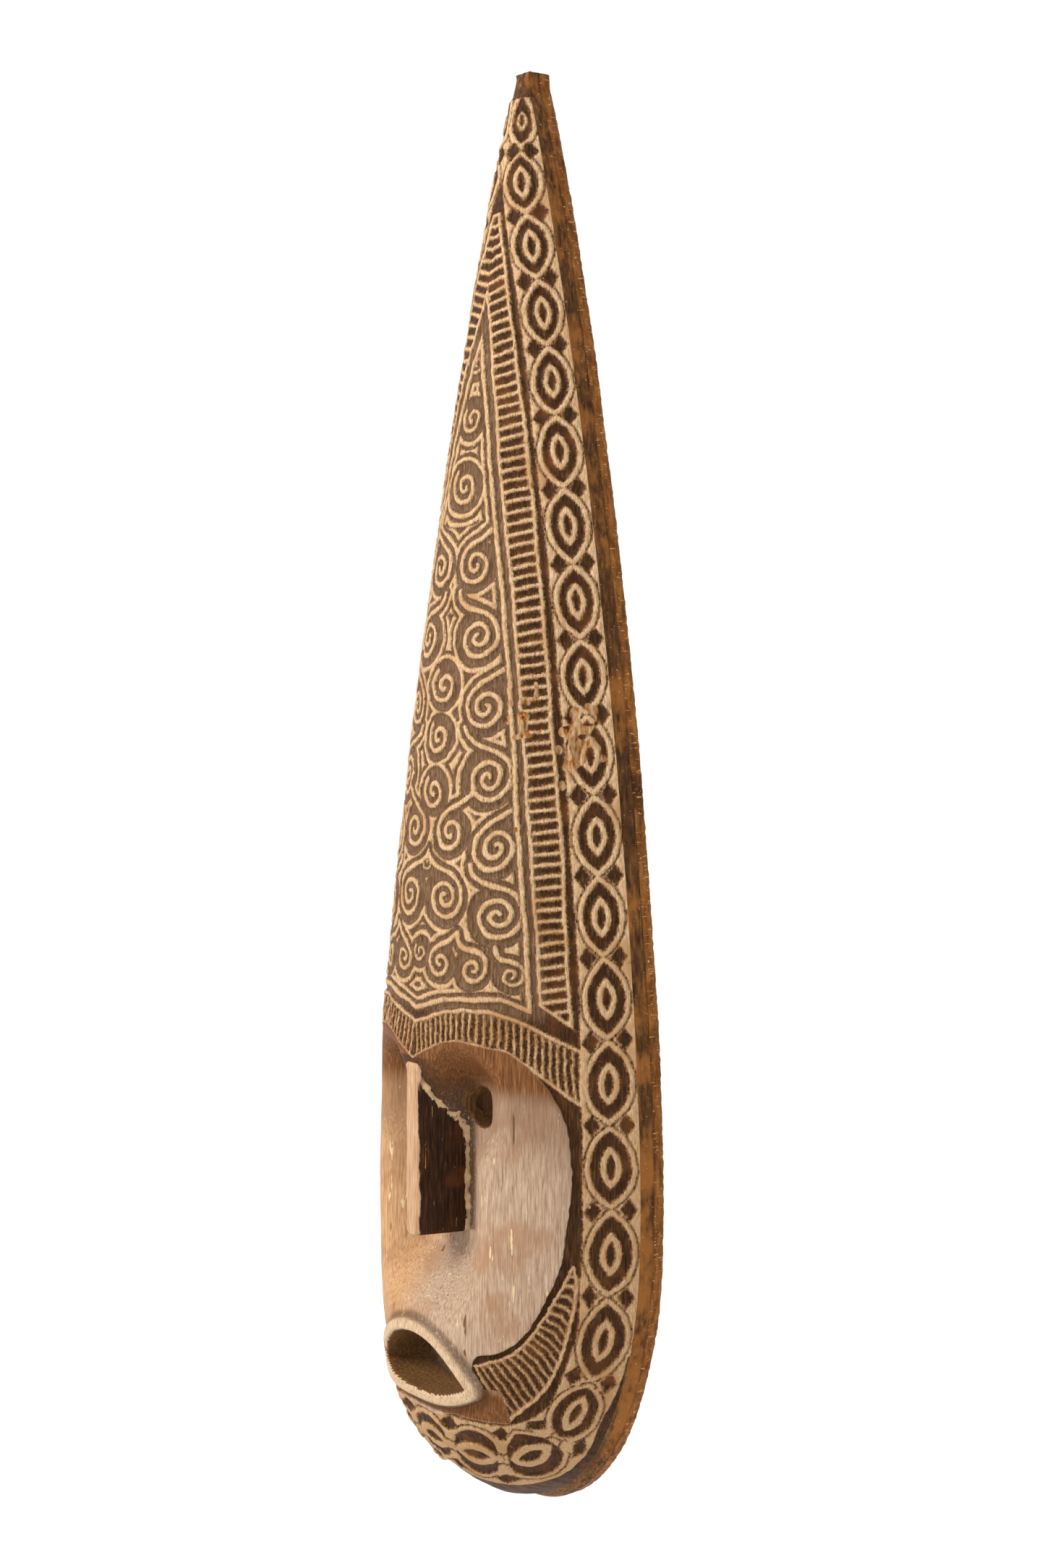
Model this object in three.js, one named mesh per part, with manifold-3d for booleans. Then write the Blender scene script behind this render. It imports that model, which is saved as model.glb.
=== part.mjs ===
// Tall wooden face mask for a wall, carved from a front block on a paler rim strip.
//
// Millimetres, +Z up, the face looks along -Y, the flat back lies on Y = 0.
// Shapes are drawn with the chin at Z = 0. The finished group is lowered so that the
// origin is the point of the wall that the hook comes out of.
//
// One rule shapes the whole front: every height has an outline half width, a keel (how
// far the middle stands off the wall) and a rounded section between the two. The face
// is a scoop cut into that form, and the hollow behind follows it at a wall's thickness.

import * as THREE from 'three';
import { mergeVertices } from 'three/addons/utils/BufferGeometryUtils.js';
import Module from 'manifold-3d';

const wasm = await Module();
wasm.setup();

// ---------------------------------------------------------------- driving dimensions

const HEIGHT = 990;
const HALF_WIDTH = 132;
const WIDEST_AT = 230;
const POINT_AT = 998; // where the two sides would meet above the blunt tip
const TIP_HALF_WIDTH = 8;

const RIM_DEPTH = 9.2; // pale strip round the back
const RIM_WIDTH = 18;
const GAP = 0.3; // glue line and running clearance
const EDGE_DEPTH = 19; // side wall, front edge to back plane
const EDGE_TAPER = 2.9; // the front edge sits this far inside the back outline
const CHIN_LIFT = 2;

const KEEL = 92; // middle of the front, in front of its edge
const KEEL_LOW = 140; // the keel is full between these two heights
const KEEL_HIGH = 320;
const SECTION_POWER = 2.4; // roundness of the section
const CHIN_SECTION_POWER = 3;

const FACE_FLOOR = 75; // bottom of the scoop, from the back plane
const BROW_SLOPE = { middle: 75, side: 32 }; // height over which the scoop climbs to the brow
const FACE_LOW = 140;
const FACE_HALF_WIDTH = 68;
const FACE_TOP_HALF_WIDTH = 80;
const BROW_DIP = 322; // height of the brow edge on the centre line, at its peak and at its end
const BROW_PEAK = 340;
const BROW_PEAK_AT = 46;
const BROW_END = 310;
const BROW_END_AT = 102;

const EYE = { x: 32, z: 291, radius: 14 };
const MOUTH = { z: 105, halfWidth: 45, rise: 30, drop: 10 };

const NOSE = { bottom: 203, top: 321, front: 113, back: 66, frontHalf: 6.5, backHalf: 20 };
const PEG = { radius: 4, front: 90, back: 47.5, heights: { lower: 232, upper: 280 } };

const HOLLOW = { bottom: 42, top: 780, margin: 24, wall: 26, faceWall: 37, halfWidthLoss: 0.06 };
const HOLLOW_ROUNDING = { bottom: 90, top: 160 }; // lengths over which its two ends curve in
const THROUGH = { front: 125, back: 30 }; // depths that a cutter for a through hole spans

const STRAP = { width: 12, thickness: 1.2, top: 860, bottom: 808 };
const LOOP = { outer: 3.1, inner: 1.9, width: 5 };
const RING = { radius: 11, wire: 1.2 };
const SCREW = { radius: 1.8, length: 18, headRadius: 3.4, headHeight: 1.6 };
const SCREW_HEIGHTS = { upper: 831, lower: 815 };

const SEAM = RIM_DEPTH + GAP; // depth of the front block's flat back
const EYE_OF_LOOP = STRAP.top;
const LOOP_DEPTH = SEAM - GAP - LOOP.outer;
const HOOK_HEIGHT = EYE_OF_LOOP + 2 * RING.radius - RING.wire;

// ---------------------------------------------------------------- the form of the front

const clamp = (value, low, high) => Math.min(Math.max(value, low), high);
const mix = (a, b, t) => a + (b - a) * t;
const ease = (low, high, value) => {
  const t = clamp((value - low) / (high - low), 0, 1);
  return t * t * (3 - 2 * t);
};

function halfWidth(z) {
  if (z < WIDEST_AT) {
    const down = (WIDEST_AT - z) / WIDEST_AT;
    return HALF_WIDTH * Math.sqrt(1 - down ** 2.3);
  }
  const up = (z - WIDEST_AT) / (POINT_AT - WIDEST_AT);
  return Math.max(HALF_WIDTH * (1 - up ** 1.5) ** 0.825, TIP_HALF_WIDTH);
}

const frontHalfWidth = (z) => halfWidth(z) - EDGE_TAPER * Math.min(1, halfWidth(z) / 40);

function keel(z) {
  const down = clamp((KEEL_LOW - z) / KEEL_LOW, 0, 1);
  const up = clamp((z - KEEL_HIGH) / (HEIGHT - KEEL_HIGH), 0, 1);
  return KEEL * (1 - down ** 2.2) ** 0.6 * (1 - up ** 1.1) ** 0.82;
}

function sectionPower(z) {
  return mix(CHIN_SECTION_POWER, SECTION_POWER, clamp(z / 150, 0, 1));
}

// Lower edge of the brow: it dips on the centre line, peaks over each eye and falls away.
function browEdge(x) {
  const side = Math.abs(x);
  if (side < BROW_PEAK_AT) {
    const rise = Math.sin((Math.PI / 2) * (side / BROW_PEAK_AT));
    return mix(BROW_DIP, BROW_PEAK, rise);
  }
  const out = clamp((side - BROW_PEAK_AT) / (BROW_END_AT - BROW_PEAK_AT), 0, 1.2);
  return mix(BROW_PEAK, BROW_END, out ** 1.8);
}

// How much of the scoop reaches a point of the face, from 0 to 1.
function scoop(x, z) {
  const high = ease(250, 285, z);
  const inner = mix(20, 38, high);
  const outer = mix(FACE_HALF_WIDTH, FACE_TOP_HALF_WIDTH, high);
  const across = 1 - ease(inner, outer, Math.abs(x));
  const edge = browEdge(x);
  const slope = mix(BROW_SLOPE.middle, BROW_SLOPE.side, ease(10, 26, Math.abs(x)));
  return across * ease(FACE_LOW, FACE_LOW + 60, z) * (1 - ease(edge - slope, edge - 2, z));
}

// Distance of the front surface from the back plane; across runs from -1 to 1.
function frontDepth(across, z) {
  const full = EDGE_DEPTH + keel(z) * (1 - Math.abs(across) ** sectionPower(z));
  return mix(full, Math.min(full, FACE_FLOOR), scoop(across * frontHalfWidth(z), z));
}

// ---------------------------------------------------------------- solids and meshes

function toSolid(geometry) {
  const bare = geometry.clone();
  bare.deleteAttribute('normal');
  bare.deleteAttribute('uv');
  const merged = mergeVertices(bare, 1e-4);
  return new wasm.Manifold(new wasm.Mesh({
    numProp: 3,
    vertProperties: new Float32Array(merged.attributes.position.array),
    triVerts: new Uint32Array(merged.index.array),
  }));
}

function toGeometry(solid) {
  const mesh = solid.getMesh();
  const geometry = new THREE.BufferGeometry();
  geometry.setAttribute('position', new THREE.BufferAttribute(mesh.vertProperties, 3));
  geometry.setIndex(new THREE.BufferAttribute(mesh.triVerts, 1));
  geometry.computeVertexNormals();
  return geometry;
}

// Closed skin through a stack of loops with equal point counts, with a fan on each end.
function loft(loops) {
  const points = loops.flat();
  const count = loops[0].length;
  const faces = [];
  for (let row = 0; row + 1 < loops.length; row++) {
    for (let i = 0; i < count; i++) {
      const next = (i + 1) % count;
      const [a, b] = [row * count + i, row * count + next];
      faces.push(a, b, b + count, a, b + count, a + count);
    }
  }
  for (const [row, flip] of [[0, true], [loops.length - 1, false]]) {
    const middle = points.length;
    const centre = [0, 1, 2].map((axis) => loops[row].reduce((sum, p) => sum + p[axis], 0) / count);
    points.push(centre);
    for (let i = 0; i < count; i++) {
      const [a, b] = [row * count + i, row * count + ((i + 1) % count)];
      faces.push(...(flip ? [middle, b, a] : [middle, a, b]));
    }
  }
  const geometry = new THREE.BufferGeometry();
  geometry.setAttribute('position', new THREE.Float32BufferAttribute(points.flat(), 3));
  geometry.setIndex(faces);
  return toSolid(geometry);
}

// A cylinder along Y between two depths.
function rod(radius, x, z, nearDepth, farDepth, sides = 24) {
  const geometry = new THREE.CylinderGeometry(radius, radius, nearDepth - farDepth, sides);
  geometry.translate(x, -(nearDepth + farDepth) / 2, z);
  return toSolid(geometry);
}

// A shape drawn in X and Z, extruded along Y between two depths.
function slab(shape, nearDepth, farDepth, curveSegments = 12) {
  const options = { depth: nearDepth - farDepth, bevelEnabled: false, curveSegments };
  const geometry = new THREE.ExtrudeGeometry(shape, options);
  geometry.rotateX(Math.PI / 2);
  geometry.translate(0, -farDepth, 0);
  return toSolid(geometry);
}

// Heights that crowd together at the chin, where the outline turns under.
function heights(low, high, chinRows, step) {
  const list = [];
  for (let i = 0; i < chinRows; i++) {
    const turn = (Math.PI / 2) * (i / chinRows);
    list.push(low + (WIDEST_AT - low) * (1 - Math.cos(turn)));
  }
  const rows = Math.round((high - WIDEST_AT) / step);
  for (let i = 0; i <= rows; i++) list.push(mix(WIDEST_AT, high, i / rows));
  return list;
}

// ---------------------------------------------------------------- mask shell

function frontBlock() {
  const across = 12; // stations on each side of the centre line
  return loft(heights(0.5, HEIGHT, 24, 11).map((z) => {
    const lift = CHIN_LIFT * Math.exp(-z / 60);
    const loop = [[-halfWidth(z), -SEAM, z]];
    for (let i = -across; i <= across; i++) {
      const s = i / across;
      loop.push([frontHalfWidth(z) * s, -frontDepth(s, z), z + lift]);
    }
    loop.push([halfWidth(z), -SEAM, z]);
    return loop;
  }));
}

function hollow() {
  const across = 8;
  const length = HOLLOW.top - HOLLOW.bottom;
  const rows = 44;
  const sliver = 0.002; // the end loops stop this share short, so that they keep some width
  const mouthDepth = -SEAM + 4; // past the flat back, so that the cut is clean
  const loops = [];
  for (let row = 0; row <= rows; row++) {
    const t = (1 - Math.cos(Math.PI * (row / rows))) / 2;
    const z = HOLLOW.bottom + length * clamp(t, sliver, 1 - sliver);
    const fromBottom = (z - HOLLOW.bottom) / HOLLOW_ROUNDING.bottom;
    const fromTop = (HOLLOW.top - z) / HOLLOW_ROUNDING.top;
    const end = Math.min(1, fromBottom, fromTop);
    const round = Math.sqrt(1 - (1 - end) ** 2);
    const face = ease(150, 200, z) * (1 - ease(310, 370, z));
    const depth = (EDGE_DEPTH + keel(z) - HOLLOW.wall - HOLLOW.faceWall * face - SEAM) * round;
    const width = (halfWidth(z) * (1 - HOLLOW.halfWidthLoss) - HOLLOW.margin) * round;
    const loop = [[-width, mouthDepth, z]];
    for (let i = -across; i <= across; i++) {
      const s = i / across;
      loop.push([width * s, -(SEAM + depth * (1 - Math.abs(s) ** SECTION_POWER)), z]);
    }
    loop.push([width, mouthDepth, z]);
    loops.push(loop);
  }
  return loft(loops);
}

function mouthHole() {
  const { z, halfWidth: half, rise, drop } = MOUTH;
  const lips = new THREE.Shape();
  lips.moveTo(-half, z);
  lips.bezierCurveTo(-half * 0.55, z + rise * 1.35, half * 0.55, z + rise * 1.35, half, z);
  lips.bezierCurveTo(half * 0.5, z - drop * 1.35, -half * 0.5, z - drop * 1.35, -half, z);
  return slab(lips, THROUGH.front, THROUGH.back);
}

function noseBlock(grow) {
  const [near, far] = [NOSE.front + grow * 4, NOSE.back - grow];
  const slope = (NOSE.backHalf - NOSE.frontHalf) / (NOSE.front - NOSE.back);
  const half = (depth) => NOSE.frontHalf + slope * (NOSE.front - depth) + grow;
  const section = new THREE.Shape();
  section.moveTo(half(near), -near);
  section.lineTo(half(far), -far);
  section.lineTo(-half(far), -far);
  section.lineTo(-half(near), -near);
  section.closePath();
  const depth = NOSE.top - NOSE.bottom + 2 * grow;
  const geometry = new THREE.ExtrudeGeometry(section, { depth, bevelEnabled: false });
  geometry.translate(0, 0, NOSE.bottom - grow);
  return toSolid(geometry);
}

function pegHoles() {
  const [lower, upper] = Object.values(PEG.heights)
    .map((z) => rod(PEG.radius + GAP, 0, z, PEG.front + GAP, THROUGH.back));
  return lower.add(upper);
}

function screwHole(z, radius) {
  return rod(radius, 0, z, SEAM + SCREW.length, -1, 12);
}

function eyeHoles() {
  const [left, right] = [-1, 1]
    .map((side) => rod(EYE.radius, side * EYE.x, EYE.z, THROUGH.front, THROUGH.back, 32));
  return left.add(right);
}

function maskShell() {
  let solid = frontBlock().subtract(hollow()).subtract(eyeHoles());
  solid = solid.subtract(mouthHole()).subtract(noseBlock(GAP)).subtract(pegHoles());
  for (const z of Object.values(SCREW_HEIGHTS)) {
    solid = solid.subtract(screwHole(z, SCREW.radius + GAP));
  }
  return toGeometry(solid);
}

// ---------------------------------------------------------------- nose and its pegs

const nose = () => toGeometry(noseBlock(0).subtract(pegHoles()).subtract(eyeHoles()));

const nosePeg = (z) => toGeometry(rod(PEG.radius, 0, z, PEG.front, PEG.back));

// ---------------------------------------------------------------- back rim strips

const HALF_GAP = GAP / 2; // each half of the rim stops this far from the centre plane

// Half width of the rim's opening, a strip's width inside the outline.
function rimInner(z) {
  if (z >= WIDEST_AT) return Math.max(halfWidth(z) - RIM_WIDTH, HALF_GAP);
  const down = clamp((WIDEST_AT - z) / (WIDEST_AT - RIM_WIDTH), 0, 1);
  return Math.max((HALF_WIDTH - RIM_WIDTH) * Math.sqrt(1 - down ** 2.3), HALF_GAP);
}

// Half of the rim. The two halves meet at the chin and, above the opening, at the point.
function backRim(side) {
  const corner = (x, z) => new THREE.Vector2(x, z);
  const outer = heights(0.5, HEIGHT, 14, 32).map((z) => corner(halfWidth(z), z));
  const inner = heights(RIM_WIDTH, HEIGHT, 14, 32)
    .filter((z) => halfWidth(z) > RIM_WIDTH + 2)
    .map((z) => corner(rimInner(z), z));
  const openingTop = inner[inner.length - 1].y + 12;
  const solid = slab(new THREE.Shape([
    corner(HALF_GAP, 0.2),
    ...outer,
    corner(HALF_GAP, HEIGHT),
    corner(HALF_GAP, openingTop),
    ...inner.reverse(),
    corner(HALF_GAP, RIM_WIDTH),
  ]), RIM_DEPTH, 0);
  return toGeometry(side > 0 ? solid : solid.mirror([1, 0, 0]));
}

// ---------------------------------------------------------------- wall hanger

function hangerStrap() {
  const { width, thickness, top, bottom } = STRAP;
  const face = RIM_DEPTH; // wood side of the strap, a glue line's gap off the block
  const plate = new THREE.BoxGeometry(width, thickness, top - bottom);
  plate.translate(0, -(face - thickness / 2), (top + bottom) / 2);
  const loop = new THREE.CylinderGeometry(LOOP.outer, LOOP.outer, LOOP.width, 24);
  loop.rotateZ(Math.PI / 2);
  loop.translate(0, -LOOP_DEPTH, EYE_OF_LOOP);
  const bore = new THREE.CylinderGeometry(LOOP.inner, LOOP.inner, width * 2, 24);
  bore.rotateZ(Math.PI / 2);
  bore.translate(0, -LOOP_DEPTH, EYE_OF_LOOP);
  // The plate narrows to the loop's width beside the ring.
  const notch = (side) => {
    const cut = new THREE.BoxGeometry(width, 4 * thickness, 12);
    cut.translate(side * (LOOP.width / 2 + width / 2), -(face - thickness / 2), top);
    return toSolid(cut);
  };
  let solid = toSolid(plate).add(toSolid(loop)).subtract(toSolid(bore));
  for (const side of [-1, 1]) solid = solid.subtract(notch(side));
  for (const z of Object.values(SCREW_HEIGHTS)) {
    solid = solid.subtract(rod(SCREW.radius + GAP, 0, z, face + 2, face - 4, 16));
  }
  return toGeometry(solid);
}

// The ring hangs down from the loop.
function hangerRing() {
  const ring = new THREE.TorusGeometry(RING.radius, RING.wire, 10, 40);
  ring.rotateX(Math.PI / 2);
  ring.translate(0, -LOOP_DEPTH, EYE_OF_LOOP - RING.radius);
  return toGeometry(toSolid(ring));
}

function hangerScrew(z) {
  const under = RIM_DEPTH - STRAP.thickness - GAP;
  const head = rod(SCREW.headRadius, 0, z, under, under - SCREW.headHeight, 20);
  const shank = rod(SCREW.radius, 0, z, under + SCREW.length, under - 0.5, 12);
  return toGeometry(head.add(shank));
}

// ---------------------------------------------------------------- materials and assembly

const finish = (color, roughness, metalness = 0) => (
  new THREE.MeshStandardMaterial({ color, roughness, metalness })
);

const STAINED_WOOD = finish(0x6b5240, 0.55);
const DARK_WOOD = finish(0x2e2019, 0.6);
const PALE_WOOD = finish(0x8a5a2e, 0.8);
const DOWEL_WOOD = finish(0xb08a5c, 0.7);
const ZINC = finish(0xa7a69f, 0.4, 0.9);
const STEEL = finish(0x8d8b86, 0.35, 1);

const mask = new THREE.Group();
mask.position.z = -HOOK_HEIGHT;

function place(name, geometry, material) {
  const mesh = new THREE.Mesh(geometry, material);
  mesh.name = name;
  mask.add(mesh);
}

place('mask_shell', maskShell(), STAINED_WOOD);
place('nose', nose(), DARK_WOOD);
place('nose_peg_upper', nosePeg(PEG.heights.upper), DOWEL_WOOD);
place('nose_peg_lower', nosePeg(PEG.heights.lower), DOWEL_WOOD);
place('back_rim_right', backRim(1), PALE_WOOD);
place('back_rim_left', backRim(-1), PALE_WOOD);
place('hanger_strap', hangerStrap(), ZINC);
place('hanger_ring', hangerRing(), STEEL);
place('hanger_screw_upper', hangerScrew(SCREW_HEIGHTS.upper), ZINC);
place('hanger_screw_lower', hangerScrew(SCREW_HEIGHTS.lower), ZINC);

const part = new THREE.Group();
part.add(mask);

export default part;
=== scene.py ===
"""Looks of a tall carved wooden face mask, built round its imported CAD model.

Shapes are drawn in millimetres as (x, depth, z): x to the right of someone facing the
mask, depth out of the wall, z up from the chin. place() turns them into the frame.
"""

import math

import bmesh
import bpy
import numpy as np
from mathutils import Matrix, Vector


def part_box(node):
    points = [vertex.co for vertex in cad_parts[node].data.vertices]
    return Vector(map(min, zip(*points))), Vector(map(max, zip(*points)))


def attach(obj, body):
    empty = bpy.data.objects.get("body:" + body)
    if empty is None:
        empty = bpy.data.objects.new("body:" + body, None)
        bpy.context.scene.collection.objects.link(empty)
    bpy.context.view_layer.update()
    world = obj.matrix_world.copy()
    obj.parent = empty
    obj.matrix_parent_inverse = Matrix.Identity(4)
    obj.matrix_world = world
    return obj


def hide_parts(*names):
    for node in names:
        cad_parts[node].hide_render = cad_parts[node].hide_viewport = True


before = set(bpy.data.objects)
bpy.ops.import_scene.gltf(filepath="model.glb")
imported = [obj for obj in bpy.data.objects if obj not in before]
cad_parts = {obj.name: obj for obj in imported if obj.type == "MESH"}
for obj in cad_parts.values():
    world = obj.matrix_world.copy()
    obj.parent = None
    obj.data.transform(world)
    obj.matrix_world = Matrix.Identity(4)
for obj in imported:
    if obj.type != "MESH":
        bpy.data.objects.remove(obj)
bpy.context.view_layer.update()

MM = 0.001
HEIGHT = 990
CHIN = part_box("mask_shell")[1].z - HEIGHT * MM  # row height of the chin

# ---------------------------------------------------------------- form of the front

HALF_WIDTH = 132
WIDEST_AT = 230
POINT_AT = 998
TIP_HALF_WIDTH = 8
SEAM = 9.5  # depth of the front block's flat back
EDGE_DEPTH = 19
EDGE_TAPER = 2.9
CHIN_LIFT = 2
KEEL = 92
KEEL_LOW, KEEL_HIGH = 140, 320
FACE_FLOOR = 75
RIM_DEPTH = 9.2
RIM_WIDTH = 18

EYE = {"x": 32, "z": 291, "radius": 14}
MOUTH = {"z": 105, "half": 45, "rise": 30, "drop": 10}
NOSE = {"bottom": 203, "top": 321, "front": 113, "back": 66, "front_half": 6.5, "back_half": 20}
NOSE_FLARE = (NOSE["back_half"] - NOSE["front_half"]) / (NOSE["front"] - NOSE["back"])
PEG_HEIGHTS = (232, 280)
PEG_HOLE = 4.3
PEG_REACH = (70, 30)  # depths between which the peg holes run
SCREW_HEIGHTS = (815, 831)
SCREW_HOLE = 2.1
THROUGH = {"front": 125, "back": 30}  # depths that a cutter for a through hole spans
BROW_SLOPE = {"middle": 75, "side": 32}  # height over which the scoop climbs to the brow

STEP = 1.0  # spacing of the carved mesh


def mix(a, b, t):
    return a + (b - a) * t


def ease(low, high, value):
    """0 at low and 1 at high, smooth between."""
    t = np.clip((value - low) / (high - low), 0, 1)
    return t * t * (3 - 2 * t)


def half_width(z):
    down = np.clip((WIDEST_AT - z) / WIDEST_AT, 0, 1)
    up = np.clip((z - WIDEST_AT) / (POINT_AT - WIDEST_AT), 0, 1)
    low = HALF_WIDTH * np.sqrt(1 - down**2.3)
    high = np.maximum(HALF_WIDTH * (1 - up**1.5) ** 0.825, TIP_HALF_WIDTH)
    return np.where(z < WIDEST_AT, low, high)


def front_half_width(z):
    half = half_width(z)
    return half - EDGE_TAPER * np.minimum(1, half / 40)


def lift(z):
    return CHIN_LIFT * np.exp(-z / 60)


def keel(z):
    down = np.clip((KEEL_LOW - z) / KEEL_LOW, 0, 1)
    up = np.clip((z - KEEL_HIGH) / (HEIGHT - KEEL_HIGH), 0, 1)
    return KEEL * (1 - down**2.2) ** 0.6 * (1 - up**1.1) ** 0.82


def full_depth(across, z):
    power = mix(3, 2.4, np.clip(z / 150, 0, 1))
    return EDGE_DEPTH + keel(z) * (1 - np.abs(across) ** power)


def brow_edge(x):
    """Lower edge of the brow: a dip in the middle, a peak over each eye."""
    side = np.abs(x)
    inner = mix(322, 340, np.sin(math.pi / 2 * np.clip(side / 46, 0, 1)))
    outer = mix(340, 310, np.clip((side - 46) / 56, 0, 1.2) ** 1.8)
    return np.where(side < 46, inner, outer)


def scoop(x, z):
    """How far the smooth face is hollowed at a point, 0 to 1."""
    high = ease(250, 285, z)
    across = 1 - ease(mix(20, 38, high), mix(68, 80, high), np.abs(x))
    edge = brow_edge(x)
    slope = mix(BROW_SLOPE["middle"], BROW_SLOPE["side"], ease(10, 26, np.abs(x)))
    return across * ease(140, 200, z) * (1 - ease(edge - slope, edge - 2, z))


def surface(x, z):
    """Points of the front before the face is scooped out."""
    across = np.clip(x / front_half_width(z), -1, 1)
    return np.stack([x, full_depth(across, z), z + lift(z)], 1)


def front_depth(x, z):
    full = full_depth(x / front_half_width(z), z)
    return mix(full, np.minimum(full, FACE_FLOOR), scoop(x, z))


def nose_half_width(depth):
    return NOSE["front_half"] + NOSE_FLARE * (NOSE["front"] - depth)


# ---------------------------------------------------------------- small helpers


class Waves:
    """Smooth noise between about -1 and 1, a sum of seeded sine waves."""

    def __init__(self, seed, length, count=7, stretch=(1.0, 1.0, 1.0)):
        random = np.random.default_rng(seed)
        direction = random.normal(size=(count, 3))
        direction /= np.linalg.norm(direction, axis=1, keepdims=True)
        size = 2 * math.pi / (length * random.uniform(0.6, 1.6, size=(count, 1)))
        self.vectors = direction * size / np.array(stretch)
        self.phases = random.uniform(0, 2 * math.pi, count)

    def __call__(self, x, y, z):
        total = 0
        for vector, phase in zip(self.vectors, self.phases):
            total = total + np.sin(vector[0] * x + vector[1] * y + vector[2] * z + phase)
        return total / math.sqrt(len(self.phases))


def place(points):
    """(x, depth, z) in millimetres from the chin, to metres in the frame."""
    points = np.asarray(points, float)
    return np.stack([points[:, 0] * MM, -points[:, 1] * MM, points[:, 2] * MM + CHIN], 1)


def new_object(name, points, faces):
    mesh = bpy.data.meshes.new(name)
    mesh.from_pydata(place(points).tolist(), [], [tuple(map(int, f)) for f in faces])
    mesh.validate()
    mesh.update()
    mesh.shade_smooth()
    obj = bpy.data.objects.new(name, mesh)
    bpy.context.scene.collection.objects.link(obj)
    return obj


def vertex_places(obj):
    """x, depth and z of each vertex, in millimetres from the chin."""
    points = np.empty(len(obj.data.vertices) * 3, np.float32)
    obj.data.vertices.foreach_get("co", points)
    points = points.reshape(-1, 3)
    return points[:, 0] / MM, -points[:, 1] / MM, (points[:, 2] - CHIN) / MM


def store(obj, name, values):
    """Keeps a value at each vertex, for the node materials."""
    attribute = obj.data.attributes.new(name, "FLOAT", "POINT")
    attribute.data.foreach_set("value", values.astype(np.float32))


def loft(name, loops):
    """A closed skin through loops of equal point counts, with a fan on each end."""
    loops = np.asarray(loops, float)
    rows, count = loops.shape[:2]
    points = list(loops.reshape(-1, 3))
    faces = []
    for row in range(rows - 1):
        for i in range(count):
            a, b = row * count + i, row * count + (i + 1) % count
            faces.append((a, b, b + count, a + count))
    for row, flip in ((0, True), (rows - 1, False)):
        middle = len(points)
        points.append(loops[row].mean(0))
        for i in range(count):
            a, b = row * count + i, row * count + (i + 1) % count
            faces.append((middle, b, a) if flip else (middle, a, b))
    obj = new_object(name, points, faces)
    turn_outward(obj)
    return obj


def turn_outward(obj):
    """Flips the faces of a closed mesh whose volume comes out negative."""
    work = bmesh.new()
    work.from_mesh(obj.data)
    if work.calc_volume(signed=True) < 0:
        bmesh.ops.reverse_faces(work, faces=work.faces)
        work.to_mesh(obj.data)
    work.free()


def boolean(obj, other, operation):
    modifier = obj.modifiers.new("cut", "BOOLEAN")
    modifier.operation = operation
    modifier.object = other
    modifier.solver = "MANIFOLD"
    graph = bpy.context.evaluated_depsgraph_get()
    mesh = bpy.data.meshes.new_from_object(obj.evaluated_get(graph))
    obj.modifiers.clear()
    old = obj.data
    obj.data = mesh
    bpy.data.meshes.remove(old)
    bpy.data.objects.remove(other)


# ---------------------------------------------------------------- grid of the front

fine_z = np.concatenate([
    0.5 + (WIDEST_AT - 0.5) * (1 - np.cos(np.linspace(0, math.pi / 2, 1500)))[:-1],
    np.linspace(WIDEST_AT, HEIGHT, 3000),
])


def edge_line(z):
    """The right front edge."""
    return np.stack([front_half_width(z), np.full_like(z, EDGE_DEPTH), z + lift(z)], 1)


def row_heights():
    """Heights of the mesh rows, a step apart along both the edge and the keel."""
    middle = np.stack([0 * fine_z, EDGE_DEPTH + keel(fine_z), fine_z + lift(fine_z)], 1)
    steps = [np.linalg.norm(np.diff(line, axis=0), axis=1) for line in (edge_line(fine_z), middle)]
    along = np.r_[0, np.cumsum(np.maximum(*steps))]
    rows = int(along[-1] / STEP)
    return np.interp(np.linspace(0, along[-1], rows + 1), along, fine_z)


ACROSS = np.linspace(0, 1, 241)


def section_arcs(z):
    """x, and the arc length from the centre line, of the uncut section at each height."""
    x = ACROSS[None, :] * front_half_width(z)[:, None]
    depth = full_depth(ACROSS[None, :], z[:, None])
    steps = np.hypot(np.diff(x, axis=1), np.diff(depth, axis=1))
    arc = np.concatenate([np.zeros((len(z), 1)), np.cumsum(steps, axis=1)], axis=1)
    return x, arc


class Grid:
    """The right half of the front: points at even steps in from the edge."""

    def __init__(self):
        self.z = row_heights()
        x, arc = section_arcs(self.z)
        self.half_arc = arc[:, -1]
        self.last = np.ceil(self.half_arc / STEP - 0.25).astype(int)
        rows, xs, ins = [], [], []
        self.start = []
        for i, last in enumerate(self.last):
            inward = np.minimum(np.arange(last + 1) * STEP, self.half_arc[i])
            inward[-1] = self.half_arc[i]
            self.start.append(len(rows))
            rows += [i] * (last + 1)
            xs.append(np.interp(self.half_arc[i] - inward, arc[i], x[i]))
            ins.append(inward)
        self.row = np.array(rows)
        self.x = np.concatenate(xs)
        self.inward = np.concatenate(ins)
        self.across = self.half_arc[self.row] - self.inward  # arc from the centre line
        self.height = self.z[self.row]
        self.x[self.across < 1e-9] = 0

    def index(self, i, column):
        return self.start[i] + min(column, self.last[i])


# Middle of the border across the chin: x, height and place along it. The border leaves
# the edge there and runs over the front of the chin.
CHIN_LINE = [
    (-35.6, 53.5, -15.6), (0, 59, 22.4), (35.6, 53.5, 60.4), (65.6, 56, 101.4),
    (93.3, 90.5, 147.4), (111.8, 142, 202.4),
]


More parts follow.
